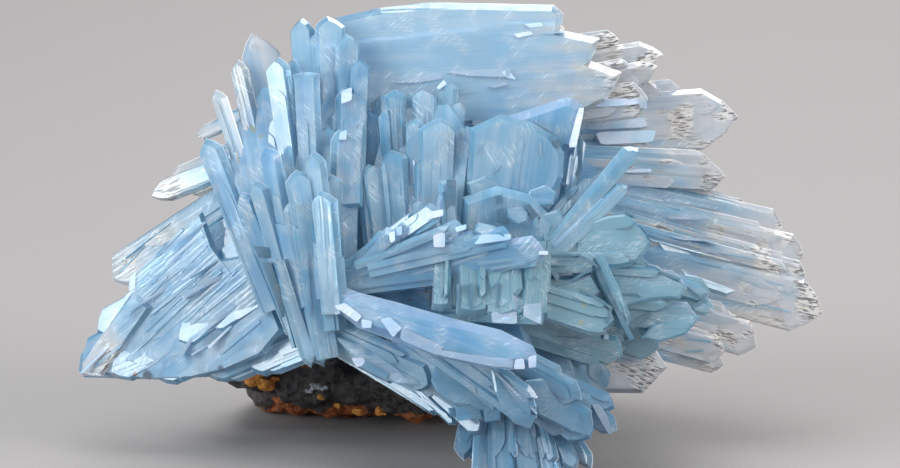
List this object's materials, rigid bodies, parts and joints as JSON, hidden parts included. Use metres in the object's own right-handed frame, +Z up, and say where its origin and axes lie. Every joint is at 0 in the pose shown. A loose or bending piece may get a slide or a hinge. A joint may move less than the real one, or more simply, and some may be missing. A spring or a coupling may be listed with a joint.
{
  "type": "blue barite crystal specimen",
  "caption": "Cabinet mineral specimen: a spray of pale blue tabular barite crystals on a dark goethite and limonite matrix.",
  "frame": {"origin": "on the surface that the specimen rests on, under the middle of its box", "axes": "+X to the right of the side shown in the picture, +Y away from that side, +Z up"},
  "size_m": [0.1198, 0.0756, 0.0725],
  "materials": {
    "barite": "clear to milky pale blue crystal with flat faces",
    "matrix": "rough dark brown-black stone with orange and rust patches"
  },
  "bodies": {
    "root": {"barite_cluster": "barite", "matrix_rock": "matrix"}
  },
  "joints": []
}
